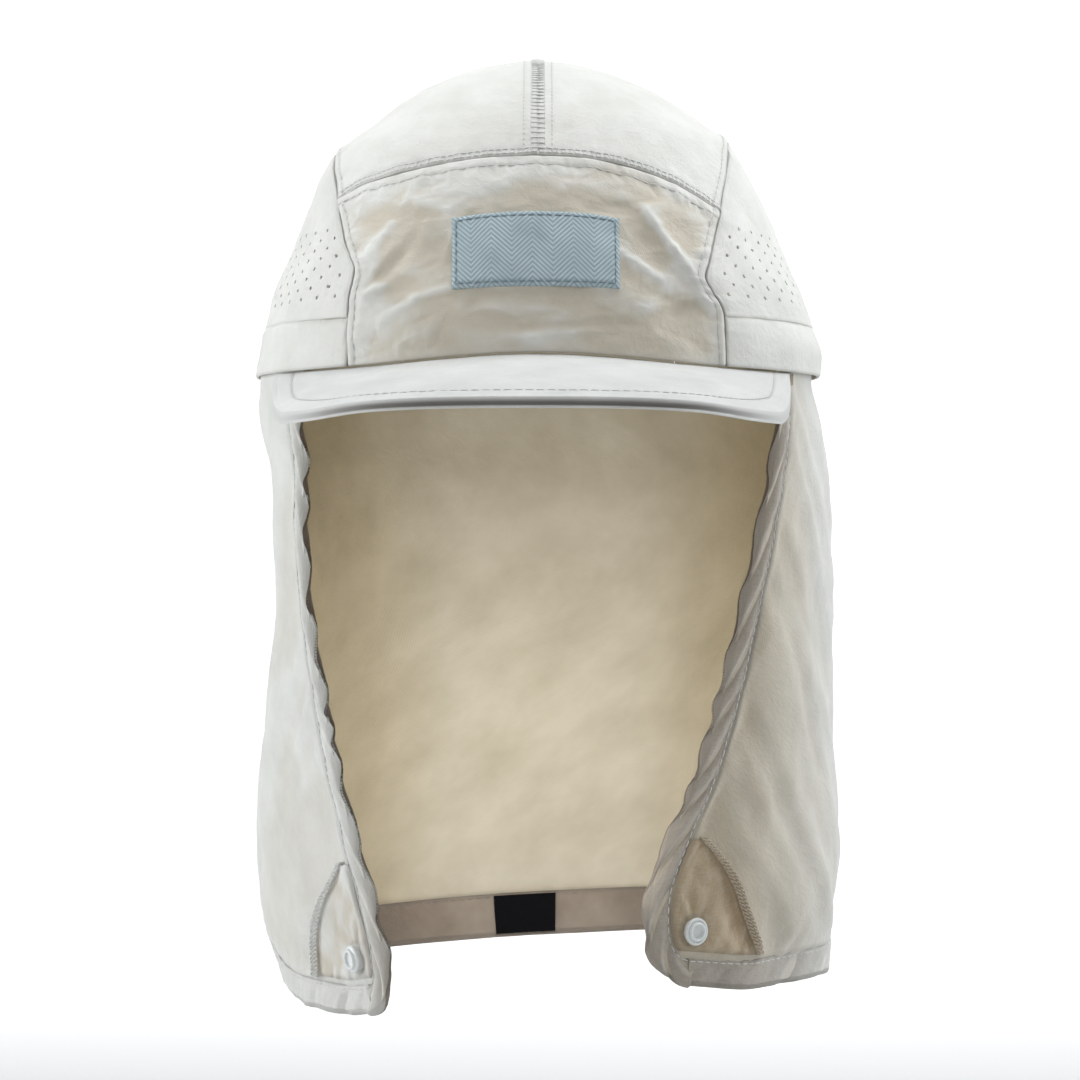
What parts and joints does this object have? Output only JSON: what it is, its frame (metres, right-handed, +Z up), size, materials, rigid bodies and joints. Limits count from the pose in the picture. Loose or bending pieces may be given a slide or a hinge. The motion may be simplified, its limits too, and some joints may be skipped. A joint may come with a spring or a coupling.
{
  "type": "legionnaire cap",
  "caption": "Sun cap with a panelled soft crown, a short stiff peak and a long cape that hangs round the neck and cheeks, open at the face, with press studs at its front corners.",
  "frame": {"origin": "centre of the head opening, level with the crown's rim", "axes": "+Z up through the crown, -Y to the front where the peak points, +X to the right as seen from the front"},
  "size_m": [0.1798, 0.2601, 0.2868],
  "materials": {
    "crown_cloth": "matt crinkled nylon, off-white",
    "peak_cloth": "matt nylon over a stiff core, off-white",
    "cape_cloth": "thin matt nylon, off-white to beige",
    "label_weave": "close twill weave, steel blue",
    "stud_plastic": "translucent white moulded plastic",
    "tab_cloth": "matt black woven tab"
  },
  "bodies": {
    "root": {"front_panel": "crown_cloth", "front_label": "label_weave", "peak": "peak_cloth", "cape": "cape_cloth", "cape_hem": "cape_cloth", "hem_tab": "tab_cloth", "top_panel_left": "crown_cloth", "side_panel_left": "crown_cloth", "side_band_left": "crown_cloth", "cape_edge_left": "cape_cloth", "corner_patch_left": "cape_cloth", "seam_tape_left": "cape_cloth", "press_stud_left": "stud_plastic", "top_panel_right": "crown_cloth", "side_panel_right": "crown_cloth", "side_band_right": "crown_cloth", "cape_edge_right": "cape_cloth", "corner_patch_right": "cape_cloth", "seam_tape_right": "cape_cloth", "press_stud_right": "stud_plastic"}
  },
  "joints": []
}
